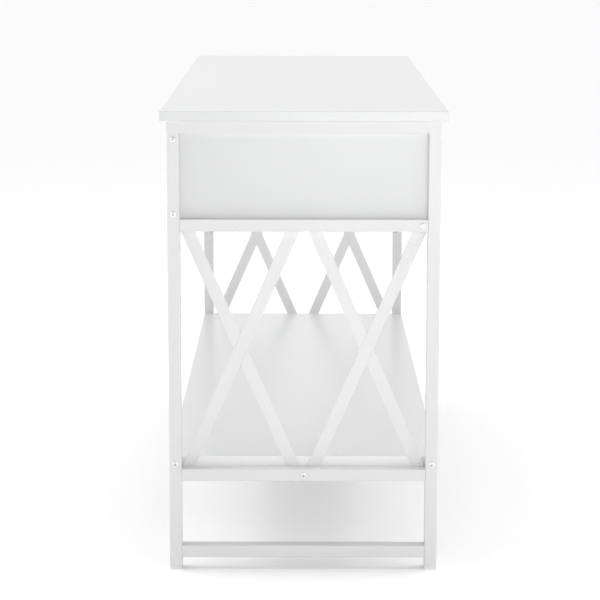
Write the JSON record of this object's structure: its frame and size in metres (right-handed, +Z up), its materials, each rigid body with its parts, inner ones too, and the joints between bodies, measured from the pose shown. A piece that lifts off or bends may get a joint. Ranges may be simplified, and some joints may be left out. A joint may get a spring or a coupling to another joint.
{
  "type": "console table",
  "caption": "Console table: white steel end frames with X braces, board top and low shelf, and apron drawers that slide out on telescopic runners.",
  "frame": {"origin": "on the floor, under the middle of the frame", "axes": "+X along the table, to the right of someone facing the drawers; -Y out of the drawer fronts; +Z up"},
  "size_m": [1.38, 0.4715, 0.756],
  "materials": {
    "frame_paint": "white powder coat, satin",
    "white_board": "white melamine-faced board, satin",
    "drawer_box_board": "white melamine-faced board, matte",
    "drawer_bottom_board": "white-faced hardboard",
    "foot_plastic": "moulded nylon, white",
    "bolt_zinc": "bright zinc plate",
    "nut_zinc": "zinc plate",
    "screw_zinc": "zinc plate",
    "slide_steel": "zinc-plated sheet",
    "knob_metal": "brushed nickel",
    "cam_metal": "zinc die casting"
  },
  "bodies": {
    "frame": {"back_panel": "white_board", "barrel_nuts": "nut_zinc", "divider": "white_board", "divider_screws": "screw_zinc", "foot_caps": "foot_plastic", "frame_bolts": "bolt_zinc", "front_stretcher": "frame_paint", "left_end_apron_rail": "frame_paint", "left_end_brace_back": "frame_paint", "left_end_brace_back_halves": "frame_paint", "left_end_brace_front": "frame_paint", "left_end_brace_front_halves": "frame_paint", "left_end_foot_rail": "frame_paint", "left_end_panel": "white_board", "left_end_shelf_rail": "frame_paint", "left_end_top_rail": "frame_paint", "left_slide_cabinet_members": "slide_steel", "leg_back_left": "frame_paint", "leg_back_right": "frame_paint", "leg_front_left": "frame_paint", "leg_front_right": "frame_paint", "panel_screws": "screw_zinc", "right_end_apron_rail": "frame_paint", "right_end_brace_back": "frame_paint", "right_end_brace_back_halves": "frame_paint", "right_end_brace_front": "frame_paint", "right_end_brace_front_halves": "frame_paint", "right_end_foot_rail": "frame_paint", "right_end_panel": "white_board", "right_end_shelf_rail": "frame_paint", "right_end_top_rail": "frame_paint", "right_slide_cabinet_members": "slide_steel", "shelf": "white_board", "shelf_stretcher": "frame_paint", "slide_cabinet_screws": "screw_zinc", "stretcher_end_nuts": "nut_zinc", "tabletop": "white_board", "tabletop_screws": "screw_zinc"},
    "left_drawer": {"left_drawer_back": "drawer_box_board", "left_drawer_bottom": "drawer_bottom_board", "left_drawer_cams": "cam_metal", "left_drawer_front": "white_board", "left_drawer_knob": "knob_metal", "left_drawer_knob_screw": "screw_zinc", "left_drawer_left_side": "drawer_box_board", "left_drawer_right_side": "drawer_box_board", "left_drawer_screws": "screw_zinc", "left_slide_drawer_members": "slide_steel"},
    "left_slide_middles": {"left_slide_middle_members": "slide_steel"},
    "right_drawer": {"right_drawer_back": "drawer_box_board", "right_drawer_bottom": "drawer_bottom_board", "right_drawer_cams": "cam_metal", "right_drawer_front": "white_board", "right_drawer_knob": "knob_metal", "right_drawer_knob_screw": "screw_zinc", "right_drawer_left_side": "drawer_box_board", "right_drawer_right_side": "drawer_box_board", "right_drawer_screws": "screw_zinc", "right_slide_drawer_members": "slide_steel"},
    "right_slide_middles": {"right_slide_middle_members": "slide_steel"}
  },
  "joints": [
    {"name": "left_drawer_slide", "type": "slide", "parent": "frame", "child": "left_drawer", "axis": [0, -1, 0], "range_m": [0, 0.3]},
    {"name": "left_slide_middles_slide", "type": "slide", "parent": "frame", "child": "left_slide_middles", "axis": [0, -1, 0], "range_m": [0, 0.15]},
    {"name": "right_drawer_slide", "type": "slide", "parent": "frame", "child": "right_drawer", "axis": [0, -1, 0], "range_m": [0, 0.3]},
    {"name": "right_slide_middles_slide", "type": "slide", "parent": "frame", "child": "right_slide_middles", "axis": [0, -1, 0], "range_m": [0, 0.15]}
  ],
  "couplings": [
    {"joint": "left_slide_middles_slide", "follows": "left_drawer_slide", "ratio": 0.5},
    {"joint": "right_slide_middles_slide", "follows": "right_drawer_slide", "ratio": 0.5}
  ]
}
